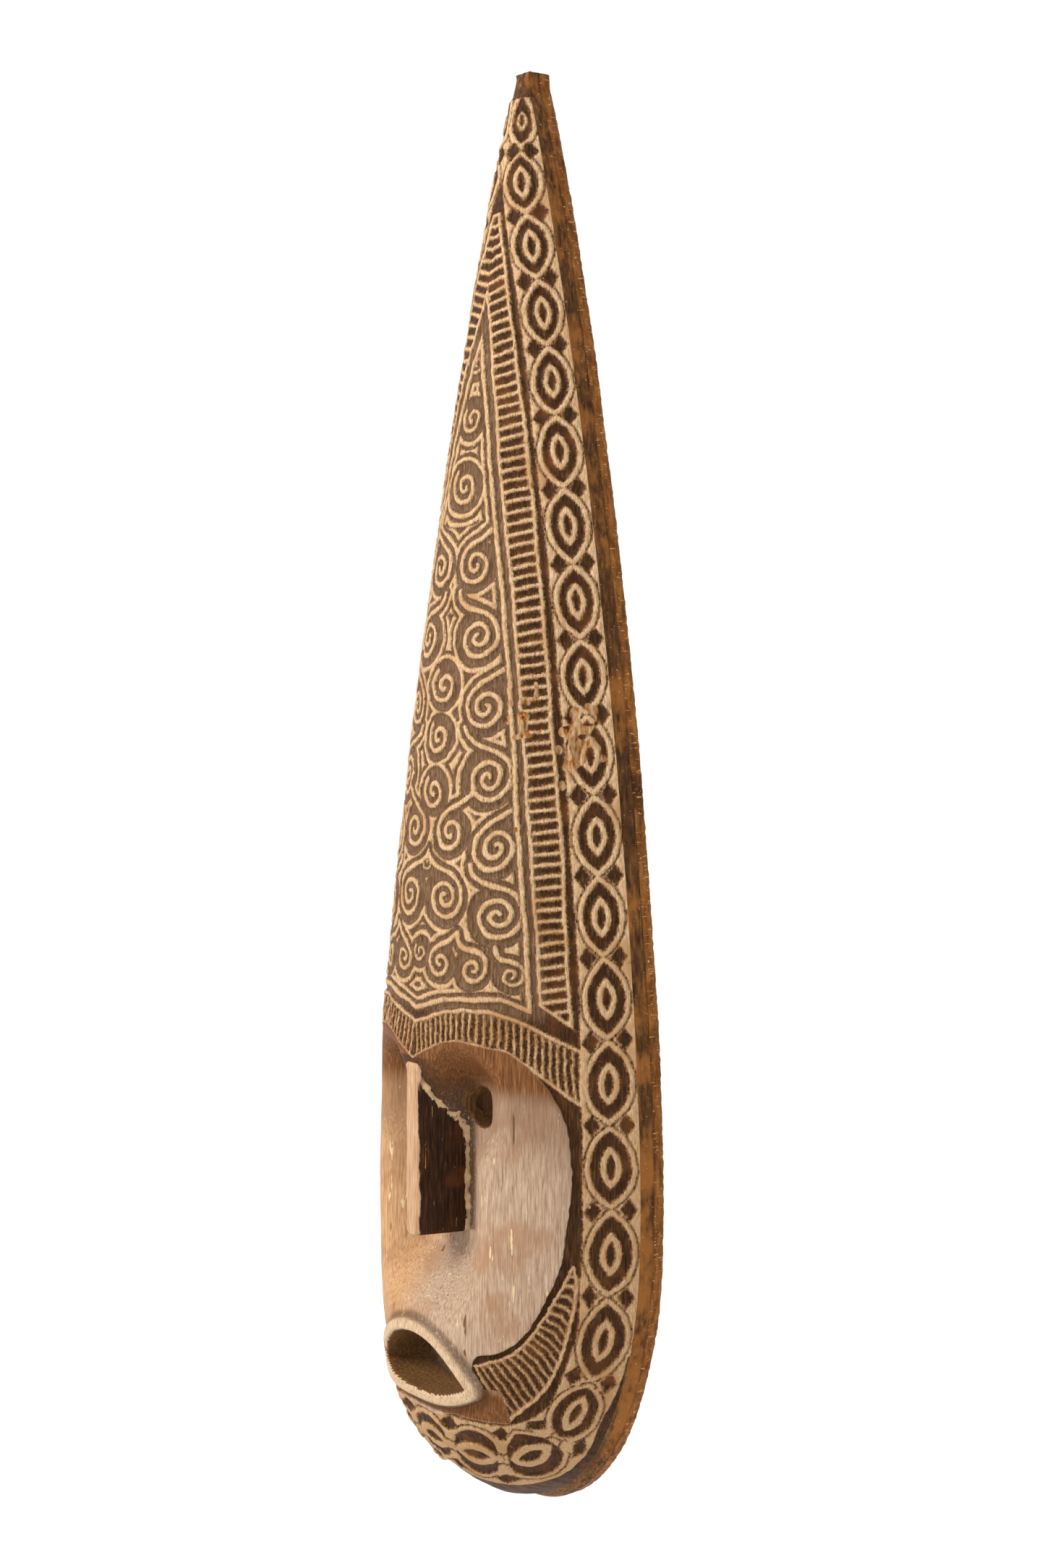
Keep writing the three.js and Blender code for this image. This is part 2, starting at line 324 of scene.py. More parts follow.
def rounded(points, steps):
    """Smooth curve through points."""
    points = np.asarray(points, float)
    t = np.linspace(0, 1, steps, endpoint=False)[:, None]
    parts = []
    for p0, p1, p2, p3 in zip(points[:-3], points[1:-2], points[2:-1], points[3:]):
        a = 2 * p1 + (p2 - p0) * t
        b = (2 * p0 - 5 * p1 + 4 * p2 - p3) * t**2 + (3 * p1 - p0 - 3 * p2 + p3) * t**3
        parts.append((a + b) / 2)
    return np.concatenate(parts)


def border_middle():
    """Middle line of the border on the right half, and the place along it."""
    z = row_heights()
    edge = edge_line(z)
    along = edge[0, 0] + np.r_[0, np.cumsum(np.linalg.norm(np.diff(edge, axis=0), axis=1))]
    x, arc = section_arcs(z)
    half_arc = arc[:, -1]
    width = np.minimum(border_width(along), np.where(z > 600, half_arc, 99))
    middle = [np.interp(half_arc[i] - width[i] / 2, arc[i], x[i]) for i in range(len(z))]
    rows = [i for i in range(len(z)) if along[i] > 240][::22] + [len(z) - 1]
    points = CHIN_LINE + [(middle[i], z[i], along[i]) for i in rows]
    points.append(2 * np.array(points[-1]) - points[-2])
    line = rounded([(-65.6, 56, -56.6)] + points, 20)
    x, z, along = line.T
    return surface(x, np.minimum(z, HEIGHT)), along


def border_coordinates(points):
    """Distance in from the border's outer line, and the place along the border."""
    line, place_at = border_middle()
    step = np.gradient(line, axis=0)
    size = np.linalg.norm(step, axis=1)
    tangent = step / size[:, None]
    rate = np.gradient(place_at) / size
    squares = (line**2).sum(1)
    nearest = np.concatenate([
        (squares[None, :] - 2 * chunk @ line.T).argmin(1)
        for chunk in np.array_split(points, 60)
    ])
    offset = points - line[nearest]
    forward = (offset * tangent[nearest]).sum(1)
    side = np.linalg.norm(offset - forward[:, None] * tangent[nearest], axis=1)
    outward = offset[:, 0] * tangent[nearest, 2] - offset[:, 2] * tangent[nearest, 0]
    along = place_at[nearest] + forward * rate[nearest]
    return -np.sign(outward) * side, along


# ---------------------------------------------------------------- carved pattern
#
# Each pattern is a signed distance in millimetres from the edge between its two levels:
# above 0 is a pale, rubbed ridge, below 0 a dark, stained hollow.

GROOVE = 2.05  # half width of a ridge line


def lens(along, across, length, width):
    """Signed distance to a pointed oval, negative inside."""
    radius = (length**2 + width**2) / (2 * width)
    arcs = np.hypot(np.abs(across) + radius - width, along) - radius
    tips = np.hypot(across, np.abs(along) - length)
    return np.where(np.abs(along) > length, np.maximum(arcs, tips * 0.8), arcs)


def stroke_distance(u, z, line, reach=math.inf):
    """Distance to a polyline, or 1000 where no segment is within reach."""
    best = np.full(u.shape, 1e3)
    for (u0, z0), (u1, z1) in zip(line[:-1], line[1:]):
        near = (u > min(u0, u1) - reach) & (u < max(u0, u1) + reach)
        near &= (z > min(z0, z1) - reach) & (z < max(z0, z1) + reach)
        du, dz = u1 - u0, z1 - z0
        t = ((u[near] - u0) * du + (z[near] - z0) * dz) / max(du * du + dz * dz, 1e-9)
        t = np.clip(t, 0, 1)
        distance = np.hypot(u[near] - u0 - t * du, z[near] - z0 - t * dz)
        best[near] = np.minimum(best[near], distance)
    return best


def stroke(u, z, line, half=GROOVE):
    """Ridge along a polyline."""
    return half - stroke_distance(u, z, line, 8)


def polygon(u, z, corners):
    """Signed distance to a polygon, positive inside."""
    closed = list(corners) + [corners[0]]
    edge = -stroke_distance(u, z, closed)
    inside = np.zeros(u.shape, bool)
    for (u0, z0), (u1, z1) in zip(closed[:-1], closed[1:]):
        if z0 == z1:
            continue
        crossing = (z0 > z) != (z1 > z)
        inside ^= crossing & (u < u0 + (z - z0) * (u1 - u0) / (z1 - z0))
    return np.where(inside, -edge, edge)


def bezier(p0, p1, p2, p3, count=14):
    t = np.linspace(0, 1, count)[:, None]
    p0, p1, p2, p3 = map(np.array, (p0, p1, p2, p3))
    curve = p0 * (1 - t) ** 3 + 3 * p1 * t * (1 - t) ** 2 + 3 * p2 * t * t * (1 - t) + p3 * t**3
    return [tuple(point) for point in curve]


MOTIF_TOP = 1025.6  # place along the edge of the topmost eye motif
MOTIF_COUNT = 17


def motif_places():
    """Eye motifs down the border: their spacing grows towards the chin."""
    places = [MOTIF_TOP - 45 * k - 0.43 * k * (k - 1) for k in range(MOTIF_COUNT)]
    return places[:-1] + [along for _, _, along in CHIN_LINE[::-1]]


def border_width(along):
    slender = 32 + 6.5 * np.clip((950 - along) / 650, 0, 1) ** 2
    return slender + 22 * ease(150, 105, along) * (0.45 + 0.55 * ease(22, 60, along))


def border(side, along, width):
    """Chain of eyes between crossing strands, with small dark chips beside each crossing.

    side is the distance in from the middle of the border.
    """
    places = np.array(motif_places()[::-1])
    crossings = (places[1:] + places[:-1]) / 2
    cell = np.clip(np.searchsorted(crossings, along), 0, len(places) - 1)
    low = np.r_[places[0] - 22, crossings][cell]
    high = np.r_[crossings, places[-1] + 20][cell]
    offset = along - places[cell]
    body_width = (0.335 + 0.03 * ease(500, 350, along)) * width
    body = lens(offset, side, (high - low) * 0.5 - 4.0, body_width)
    size = np.minimum(1.2, width / 35)
    swell = 1 + 0.35 * ease(150, 100, along)
    outer = lens(offset, side, 14.0 * size, 6.9 * size * swell)
    inner = lens(offset, side, 8.0 * size, 2.6 * size * swell)
    ring = np.maximum(outer, -inner)
    dark = np.maximum(body, -ring)
    crease = np.where(body > 2.5, np.abs(body - 4.4) - 0.3, 9)
    dark = np.minimum(dark, crease)
    for crossing in crossings:
        near = np.abs(along - crossing)
        chip_side = np.abs(np.abs(side) - width / 2 + 7.0)
        chip = (near / 7.2 + chip_side / 5.4 - 1) * 3.9
        dark = np.minimum(dark, np.where(width > 24, chip, 9))
    return dark


RUNG_PITCH = 7.4
RUNG_HALF = 1.55
RAIL = 3.3
LADDER_TOP = 893


def ladder_rails(z):
    """Distances in from the edge of the ladder's two outer sides."""
    down = ease(860, 380, z)
    return mix(35.5, 40, down), mix(58, 63.5, down)


def ladder(inward, along, z, u):
    """Two rails with rungs between them, inside the border."""
    near, far = ladder_rails(z)
    rails = np.maximum(
        RAIL / 2 - np.abs(inward - near - RAIL / 2),
        RAIL / 2 - np.abs(inward - far + RAIL / 2),
    )
    tilt = along + 0.06 * inward
    rung = RUNG_HALF - np.abs((tilt % RUNG_PITCH) - RUNG_PITCH / 2)
    between = np.minimum(inward - near, far - inward)
    cut = np.maximum(rails, np.minimum(rung, between))
    end = ladder_end(u)
    cut = np.minimum(cut, np.minimum(z - end, LADDER_TOP - z))
    foot = RAIL / 2 - np.abs(z - end - RAIL / 2)
    return np.maximum(cut, np.minimum(foot, between))


def ladder_end(u):
    """Foot of the ladder, in line with the brow band below it."""
    return 366 - 0.62 * np.clip(u - 95, -20, 60)


def panel_border(z):
    return mix(65.5, 69.5, ease(700, 380, z))


# One line per scroll of the right half: height, arc from the centre line, radius, and
# the way its tail leaves (1 to the border, -1 to the centre, 0 none).
SCROLLS = [
    (822, 0, 7.5, 0),
    (790, 0, 9.5, 0),
    (754, 0, 12, 0),
    (708, 0, 16, 0),
    (655, 19, 16.5, 1),
    (607, 28.5, 18, -1),
    (561, 40, 17.5, 1),
    (514, 47, 19.5, -1),
    (468, 57, 18.5, 1),
    (424, 63, 19.5, -1),
    (575, 0, 15, 0),
    (540, 0, 14, 0),
    (504, 0, 14.5, 0),
    (477, 20, 15.5, 1),
    (434, 20, 18.5, -1),
    (455, 0, 7.5, 0),
    (396, 0, 9, 0),
    (390, 21, 12.5, 1),
    (389, 49, 13, -1),
    (385, 76, 10.5, -1),
]
SCROLL_PITCH = 7.6
TAIL_UP, TAIL_IN = math.radians(125), math.radians(70)  # where a scroll's tail leaves it


def scroll(u, z, centre, radius, hand, turn):
    """Spiral ridge that winds in from its outer radius."""
    du, dz = u - centre[0], z - centre[1]
    r = np.hypot(du, dz)
    angle = (hand * (np.arctan2(dz, du) - turn) % (2 * math.pi)) / (2 * math.pi)
    pitch = SCROLL_PITCH * min(1, radius / 15)
    outer = radius - GROOVE
    arm = outer - pitch * angle
    best = np.full(u.shape, -9.0)
    for winding in range(4):
        line = arm - pitch * winding
        half = GROOVE * min(1, radius / 14)
        best = np.maximum(best, np.where(line > 0.5, half - np.abs(r - line), -9))
    return best, r - radius


ECHO = 3.7  # width of each echoing ridge, and of the hollow beside it
VALLEY = 2.1


def echo(space):
    """Ridges that repeat the outline of a space inside it, one within another."""
    phase = space % (ECHO + VALLEY)
    line = np.where(
        phase < ECHO + VALLEY / 2, np.minimum(phase, ECHO - phase), phase - ECHO - VALLEY
    )
    return np.where(space < 0, space, line)


def panel(u, z, inward):
    """Forehead panel: scrolls, their tails, and ridges that fill the spaces between."""
    border_at = panel_border(z)
    inside = inward - border_at - GROOVE
    cut = np.full(u.shape, -9.0)
    free = np.full(u.shape, 1e3)
    for height, at, radius, tail in SCROLLS:
        hand = 1 if tail >= 0 else -1
        turn = TAIL_UP if hand > 0 else TAIL_IN
        for mirror in (1, -1) if at else (1,):
            near = (np.abs(u - mirror * at) < 40) & (np.abs(z - height) < 40)
            if not near.any():
                continue
            start = turn if mirror > 0 else math.pi - turn
            line, outside = scroll(
                u[near], z[near], (mirror * at, height), radius, hand * mirror, start
            )
            cut[near] = np.maximum(cut[near], line)
            free[near] = np.minimum(free[near], outside)
    side = np.abs(u)
    for height, at, radius, tail in SCROLLS:
        if not tail:
            continue
        angle = TAIL_UP if tail > 0 else TAIL_IN
        reach = radius - GROOVE
        start = (at + reach * math.cos(angle), height + reach * math.sin(angle))
        if tail > 0:
            end = (at + radius * 1.02, height + radius * 1.75)
            bend = (start[0] + 9, start[1] + 7)
            back = (end[0] - 9, end[1] - 9)
        else:
            end = (at - radius * 1.15, height + radius * 1.7)
            bend = (start[0] - 8, start[1] + 4)
            back = (end[0] + 3, end[1] - 12)
        line = stroke(side, z, bezier(start, bend, back, end), GROOVE)
        cut = np.maximum(cut, line)
        free = np.minimum(free, -line - 0.4)
    # What is left between the rounds and the frame is filled with lines that echo it.
    low = panel_foot(u) + GROOVE
    cut = np.maximum(cut, echo(np.minimum(np.minimum(free - 2.3, inside - 2.2), z - low - 2.2)))
    cut = np.minimum(cut, np.minimum(inside, z - low))
    frame_line = np.minimum(GROOVE - np.abs(inward - border_at), z - low + 2 * GROOVE)
    foot_line = np.minimum(GROOVE - np.abs(z - low + GROOVE), inward - border_at + GROOVE)
    return np.maximum(np.maximum(cut, frame_line), foot_line)


def through(points):
    """The height z over u of a line through a few (u, z) points, alike on both sides."""
    us, zs = np.array(points, float).T
    return lambda u: np.interp(np.abs(u), us, zs)


panel_foot = through([(0, 358), (16, 363), (42, 369), (70, 368), (90, 362)])
brow_top = through([(0, 348), (18, 355), (44, 362), (62, 360), (90, 352), (124, 338), (132, 332)])
brow_bottom = through([(0, 322), (20, 334), (38, 340), (56, 339), (76, 334), (98, 322), (130, 298)])
BROW_END = 128  # arc from the centre line where the brow band stops
HATCH_PITCH = 4.9


def brow_band(u, z):
    """Hatched band over the brow, between two ridges."""
    top, bottom = brow_top(u), brow_bottom(u)
    side = np.abs(u)
    inside = np.minimum(np.minimum(top - z, z - bottom), BROW_END - side)
    lines = np.maximum(1.6 - np.abs(z - top), 1.9 - np.abs(z - bottom))
    lines = np.minimum(lines, BROW_END + 1 - side)
    slant = side + 0.1 * (z - 340)
    hatch = np.minimum(1.15 - np.abs((slant % HATCH_PITCH) - HATCH_PITCH / 2), inside - 1.5)
    end = np.minimum(2.4 - np.abs(side - BROW_END), np.minimum(top + 1.6 - z, z - bottom + 1.9))
    return np.maximum(np.maximum(lines, hatch), end)


# Outline of the smooth face, as arc from the centre line and height.
PLATE = [
    (0, 322), (20, 334), (38, 340), (56, 339), (76, 334), (95, 322), (110, 304), (118, 287),
    (122, 265), (122, 246), (119, 219), (115, 196), (107, 174), (97, 156), (83, 140), (69, 131),
    (54, 126), (50, 108), (42, 92), (26, 82), (0, 80),
]
CRESCENT_INNER = [(122, 193), (114, 176), (105, 160), (91, 142), (76, 129), (54, 121)]
CRESCENT_OUTER = [(123, 193), (124, 176), (122, 158), (114, 131), (97, 104), (72, 84)]
CRESCENT_STROKES = 18


def through_ends(points, steps):
    """Smooth curve through points, running straight out at both ends."""
    points = np.asarray(points, float)
    first = 2 * points[0] - points[1]
    last = 2 * points[-1] - points[-2]
    curve = rounded(np.concatenate([[first], points, [last]]), steps)
    return [tuple(point) for point in curve] + [tuple(points[-1])]


def face_outline():
    right = through_ends(PLATE, 5)
    return right + [(-u, z) for u, z in right[::-1][1:-1]]


def crescent(u, z):
    """Curved hatch panel beside the mouth."""
    inner_line = through_ends(CRESCENT_INNER, 5)
    outer_line = through_ends(CRESCENT_OUTER, 5)
    outline = inner_line + outer_line[::-1]
    inside = polygon(u, z, outline)
    frame_line = 1.5 - np.abs(inside)
    cut = frame_line
    inner = np.array(inner_line)
    outer = np.array(outer_line)

    def along(line, t):
        length = np.r_[0, np.cumsum(np.hypot(*np.diff(line, axis=0).T))]
        return [np.interp(t * length[-1], length, line[:, axis]) for axis in (0, 1)]

    for k in range(1, CRESCENT_STROKES):
        t = (k / CRESCENT_STROKES) ** 0.9
        a, b = along(inner, t), along(outer, t)
        bend = ((a[0] + b[0]) / 2 + 1.6, (a[1] + b[1]) / 2 + 1.6)
        cut = np.maximum(cut, stroke(u, z, [tuple(a), bend, tuple(b)], 1.25))
    return np.where(inside > -1.5, np.maximum(cut, frame_line), -9), inside


def mouth_shape(x, z):
    """Signed distance from the mouth opening's edge, negative inside it."""
    return -polygon(x, z, mouth_outline(24))


def mouth_outline(count, grow=0.0):
    middle, half = MOUTH["z"], MOUTH["half"] + grow
    rise, drop = (MOUTH["rise"] + grow) * 1.35, (MOUTH["drop"] + grow) * 1.35
    upper = bezier((-half, middle), (-half * 0.55, middle + rise), (half * 0.55, middle + rise),
                   (half, middle), count)
    lower = bezier((half, middle), (half * 0.5, middle - drop), (-half * 0.5, middle - drop),
                   (-half, middle), count)
    return upper[:-1] + lower[:-1]


# ---------------------------------------------------------------- carving of the front

PLAIN_TIP = 972  # height above which the point is left uncarved


def carve(grid, side):
    """Positions of one half of the front once it is carved, and its finish at each point.

    side is 1 on the right and -1 on the left, which differs only in its tool wobble.
    """
    x, z = grid.x, grid.height
    offset, along = border_coordinates(surface(x, z))
    sx = side * x
    wobble = Waves(3, 38)
    shiver = Waves(4, 9)
    shift_a = 0.75 * wobble(sx, 0, z) + 0.28 * shiver(sx, 0, z)
    shift_b = 0.75 * wobble(sx + 400, 90, z) + 0.28 * shiver(sx + 400, 90, z)
    half_arc = grid.half_arc[grid.row]
    u = side * grid.across + shift_a
    across = np.abs(u)
    inward = half_arc - across
    offset_w = offset + 0.7 * shift_a
    along_w = along + shift_b
    z_w = z + shift_b

    # Each field of the pattern, worked out round its own heights only.
    width = np.minimum(border_width(along), np.where(z > 600, half_arc, 99))
    distance = offset_w + width / 2
    cut = np.minimum(border(offset_w, along_w, width), width - distance)
    cut = np.minimum(cut, distance + 1.2 + 2 * (z > 130))
    upper = z > 300
    cut = np.where(upper, np.maximum(cut, ladder(inward, along_w, z_w, across)), cut)
    panel_zone = (z > 350) & (grid.inward > 55)
    cut[panel_zone] = np.maximum(
        cut[panel_zone], panel(u[panel_zone], z_w[panel_zone], inward[panel_zone])
    )
    brow_zone = (z > 290) & (z < 375) & (grid.across < 140)
    cut[brow_zone] = np.maximum(cut[brow_zone], brow_band(across[brow_zone], z_w[brow_zone]))
    low = (z > 60) & (z < 215) & (grid.across > 30) & (grid.across < 130)
    hatch, in_crescent = crescent(across[low], z_w[low])
    cut[low] = np.maximum(cut[low], hatch)
    cut = np.minimum(cut, PLAIN_TIP - z_w)
    cut = np.clip(cut, -9, 9)

    plate = np.full(x.shape, -30.0)
    face = (z > 55) & (z < 350)
    plate[face] = polygon(across[face], z_w[face], face_outline())
    lip = np.full(x.shape, 60.0)
    muzzle = (z > 40) & (z < 190)
    lip[muzzle] = mouth_shape(x[muzzle], z[muzzle])
    plate = np.maximum(plate, 11 - lip)
    on_plate = ease(-0.9, 0.9, plate)

    # Relief along the surface normal: pale ridges stand up, dark hollows sink.
    pattern = 1 - on_plate
    ridge = 1 - (1 - np.clip(cut / 1.9, 0, 1)) ** 2
    hollow_depth = ease(0.3, -2.6, cut)
    relief = pattern * (0.85 * ridge - 1.0 * hollow_depth)
    relief += 0.3 * Waves(8, 60)(sx, 0, z)
    relief += pattern * 0.22 * Waves(11, 4.5, stretch=(1, 1, 2.5))(sx, 0, z)
    trench = ease(-8, -2, plate) * (1 - ease(-2, 0.4, plate)) * (z < 318)
    relief -= 1.6 * trench
    relief[low] -= 0.9 * ease(-1, 1.5, in_crescent)
    tools = Waves(9, 26, stretch=(1, 1, 2.2))(sx, 0, z)
    relief += 0.55 * tools * ease(0, 8, plate)
    roll = ease(-1.0, 2.0, lip) * (1 - ease(7.2, 9.4, lip))
    relief += (2.7 + 0.6 * tools) * roll * ease(62, 84, z)
    relief -= 1.3 * ease(9, 11, lip) * (1 - ease(11, 19, lip))

    # Worn edge and broken fibres over the border and ladder, half way up the right side.
    torn = torn_patch(sx, z, side)
    relief -= 1.3 * torn * (0.6 + 0.8 * Waves(21, 4, stretch=(1, 1, 3))(sx, 0, z))
    edge_wear = ease(2.4, 0, grid.inward) * (0.35 + 0.35 * Waves(12, 30)(sx, 0, z))
    relief -= edge_wear
    below = ease(0, -3, distance) * (z < 130)
    relief -= 1.6 * below

    depth = front_depth(x, z)
    base = np.stack([x, depth, z + lift(z)], 1)
    points = base + relief[:, None] * normals(x, z)
    points[grid.across < 1e-9, 0] = 0
    points[:, 0] *= side

    # Finishes: how pale the pattern is, where the smooth face is, and its darker places: painted
    # shade under the brow, beside the nose and round the lip, and a darker brown below the lip and
    # beneath the border at the chin.
    # Painted shade on the scooped wall under the brow, above the eyes.
    lid = ease(-2, 1, plate) * ease(292, 312, z + 5 * tools)
    chin = ease(9, 11, lip) * ease(112, 98, z) * (x < 66) * ease(0, 1.5, distance - width)
    beside_nose = x - nose_half_width(depth)
    shade = ease(12, 3, beside_nose + 1.5 * tools) * ease(203, 206, z) * (z < 325)
    shade = np.maximum(shade, ease(4.5, 0.5, np.abs(lip - 10.5)) * 0.7)
    finish = {
        "cut": cut,
        "plate": np.maximum(plate, 3 * np.maximum(lid, chin) - 1.5),
        "torn": torn,
        "lip": lip,
        # Painted shade under the brow, with the darker brown below the lip and beneath the border
        # at the chin.
        "brown": np.maximum(np.maximum(lid, chin), below),
        "shade": shade,
        "front": np.ones(x.shape),
        # Where the scroll panel above the brow is, whose hollows get a painted sheen.
        "panel": ease(-2, 2, inward - 58) * (z > 350),
    }
    return points, finish


def torn_patch(sx, z, side):
    """0 to 1 where the skin has broken away in splinters."""
    if side < 0:
        return np.zeros(z.shape)
    splinters = Waves(30, 7, stretch=(1, 1, 2.5))(sx, 0, z)
    around_ladder = np.exp(-((z - 556) / 20) ** 2 - ((sx - 60) / 9) ** 2)
    around_border = 0.9 * np.exp(-((z - 540) / 34) ** 2 - ((sx - 88) / 12) ** 2)
    return ease(0.55, 0.95, np.maximum(around_ladder, around_border) + 0.34 * splinters)


def normals(x, z):
    """Outward normals of the uncarved front, by finite differences."""
    h = 0.5
    dx = (front_depth(x + h, z) - front_depth(x - h, z)) / (2 * h)
    z_low, z_high = np.maximum(z - h, 0.3), z + h
    near_edge = np.minimum(x, front_half_width(z_low) * 0.999)
    rise = front_depth(near_edge, z_high) - front_depth(near_edge, z_low)
    dz = np.clip(rise / (z_high + lift(z_high) - z_low - lift(z_low)), -6, 6)
    normal = np.stack([-dx, np.ones_like(x), -dz], 1)
    return normal / np.linalg.norm(normal, axis=1, keepdims=True)


WALL_ROWS = 8


def carved_block():
    """Closed block with the carved front, the side wall and a flat back."""
    grid = Grid()
    right, finish_right = carve(grid, 1)
    left, finish_left = carve(grid, -1)
    count = len(right)
    names = list(finish_right)
    points = [right, left]
    finish = {name: [finish_right[name], finish_left[name]] for name in names}
    shared = np.arange(2 * count)
    centre = np.where(grid.across < 1e-9)[0]
    shared[count + centre] = centre  # both halves use one point on the centre line

    faces = []
    rows = len(grid.z)
    for i in range(rows - 1):
        for column in range(max(grid.last[i], grid.last[i + 1])):
            ring = [
                grid.index(i, column), grid.index(i, column + 1),
                grid.index(i + 1, column + 1), grid.index(i + 1, column),
            ]
            ring = [v for n, v in enumerate(ring) if v != ring[n - 1]]
            if len(ring) > 2:
                faces.append(ring[::-1])
                faces.append([int(shared[count + v]) for v in ring])

    # Side wall, from the front edge to the back.
    walls = []
    total = 2 * count
    for side, half in ((1, right), (-1, left)):
        edge = half[[grid.start[i] for i in range(rows)]]
        back = np.stack([side * half_width(grid.z), np.full(rows, SEAM), grid.z], 1)
        first = [grid.start[i] + (0 if side > 0 else count) for i in range(rows)]
        index = [first]
        for k in range(1, WALL_ROWS + 1):
            t = k / WALL_ROWS
            ring = mix(edge, back, t)
            dents = Waves(40, 22)(ring[:, 0], ring[:, 1], ring[:, 2])
            ring[:, 0] -= side * (0.5 + 0.35 * dents) * math.sin(math.pi * min(t, 0.98))
            points.append(ring)
            index.append(list(range(total, total + rows)))
            total += rows
        walls.append(index)
        for k in range(WALL_ROWS):
            for i in range(rows - 1):
                quad = [index[k][i], index[k][i + 1], index[k + 1][i + 1], index[k + 1][i]]
                faces.append(quad[::-1] if side > 0 else quad)
    for i in range(rows - 1):
        back = [walls[side][-1][i + step] for side, step in ((0, 0), (0, 1), (1, 1), (1, 0))]
        faces.append(back[::-1])
    # Small end faces at the chin and the tip.
    for i, flip in ((0, False), (rows - 1, True)):
        front = [grid.index(i, c) for c in range(grid.last[i] + 1)]
        mirrored = [int(shared[count + v]) for v in front[::-1]][1:]
        loop = front + mirrored
        loop += [walls[1][k][i] for k in range(1, WALL_ROWS + 1)]
        loop += [walls[0][k][i] for k in range(WALL_ROWS, 0, -1)]
        middle = total
        stack = np.concatenate(points)
        points.append(stack[loop].mean(0)[None, :])
        total += 1
        for a, b in zip(loop, loop[1:] + loop[:1]):
            faces.append([middle, b, a] if flip else [middle, a, b])

    points = np.concatenate(points)
    used = np.unique(np.concatenate([np.array(f) for f in faces]))
    renumber = np.full(len(points), -1)
    renumber[used] = np.arange(len(used))
    for name in names:
        values = np.concatenate(finish[name])
        values = np.r_[values, np.full(len(points) - len(values), -50.0)]
        finish[name] = values[used]
    faces = [[int(renumber[v]) for v in face] for face in faces]
    obj = new_object("mask_carved_shell", points[used], faces)
    turn_outward(obj)
    for name in names:
        store(obj, name, finish[name])
    return obj


# ---------------------------------------------------------------- cutters


HOLLOW_WALL = 26
HOLLOW_FACE_WALL = 37  # more behind the face, whose floor lies that much deeper


def hollow():
    """Hollow behind the mask, with the tracks of a gouge."""
    bottom, top = 42, 780
    sides, rows = 40, 200
    loops = []
    track = Waves(50, 16, stretch=(1, 1, 3))
    for row in range(rows + 1):
        t = np.clip((1 - math.cos(math.pi * row / rows)) / 2, 0.002, 0.998)
        z = bottom + (top - bottom) * t
        end = min(1, (z - bottom) / 90, (top - z) / 160)
        round_end = math.sqrt(1 - (1 - end) ** 2)
        face = ease(150, 200, z) * (1 - ease(310, 370, z))
        wall = HOLLOW_WALL + HOLLOW_FACE_WALL * face
        depth = (EDGE_DEPTH + keel(z) - wall - SEAM) * round_end
        width = (half_width(z) * 0.94 - 24) * round_end
        s = np.linspace(-1, 1, 2 * sides + 1)
        x = width * s
        deep = depth * (1 - np.abs(s) ** 2.4)
        deep -= 0.9 * (1 + track(x, deep, z)) * ease(0, 6, deep)
        loop = [(-width, SEAM - 4, z)]
        loop += list(zip(x, SEAM + np.maximum(deep, 0), np.full_like(x, z)))
        loop.append((width, SEAM - 4, z))
        loops.append(loop)
    return loft("hollow", loops)


def round_cutter(name, x, z, radius, near, far, sides=48):
    """Slightly uneven drilled hole, between two depths."""
    angles = np.linspace(0, 2 * math.pi, sides, endpoint=False)
    loops = []
    for depth in np.linspace(far, near, 12):
        swell = 1 + 0.02 * np.sin(3 * angles + depth / 9)
        loops.append(np.stack([
            x + radius * swell * np.cos(angles), np.full(sides, depth),
            z + radius * swell * np.sin(angles),
        ], 1))
    return loft(name, loops)


def eye_cutter(side):
    return round_cutter("eye", side * EYE["x"], EYE["z"], EYE["radius"], *THROUGH.values())


def mouth_cutter():
    loops = []
    for depth in np.linspace(40, 125, 18):
        outline = np.array(mouth_outline(24, grow=-3.5 * ease(100, 70, depth)))
        loops.append(np.stack([outline[:, 0], np.full(len(outline), depth), outline[:, 1]], 1))
    return loft("mouth", loops)


def mask_shell():
    shell = carved_block()
    cutter = hollow()
    for side in (-1, 1):
        boolean(cutter, eye_cutter(side), "UNION")
    boolean(cutter, mouth_cutter(), "UNION")
    for z in PEG_HEIGHTS:
        boolean(cutter, round_cutter("peg", 0, z, PEG_HOLE, *PEG_REACH, 24), "UNION")
    for z in SCREW_HEIGHTS:
        screw_hole = round_cutter("screw", 0, z, SCREW_HOLE, SEAM + 18, -1, 16)
        boolean(cutter, screw_hole, "UNION")
    boolean(shell, cutter, "DIFFERENCE")
    shell.data.shade_smooth()
    return shell


# ---------------------------------------------------------------- nose


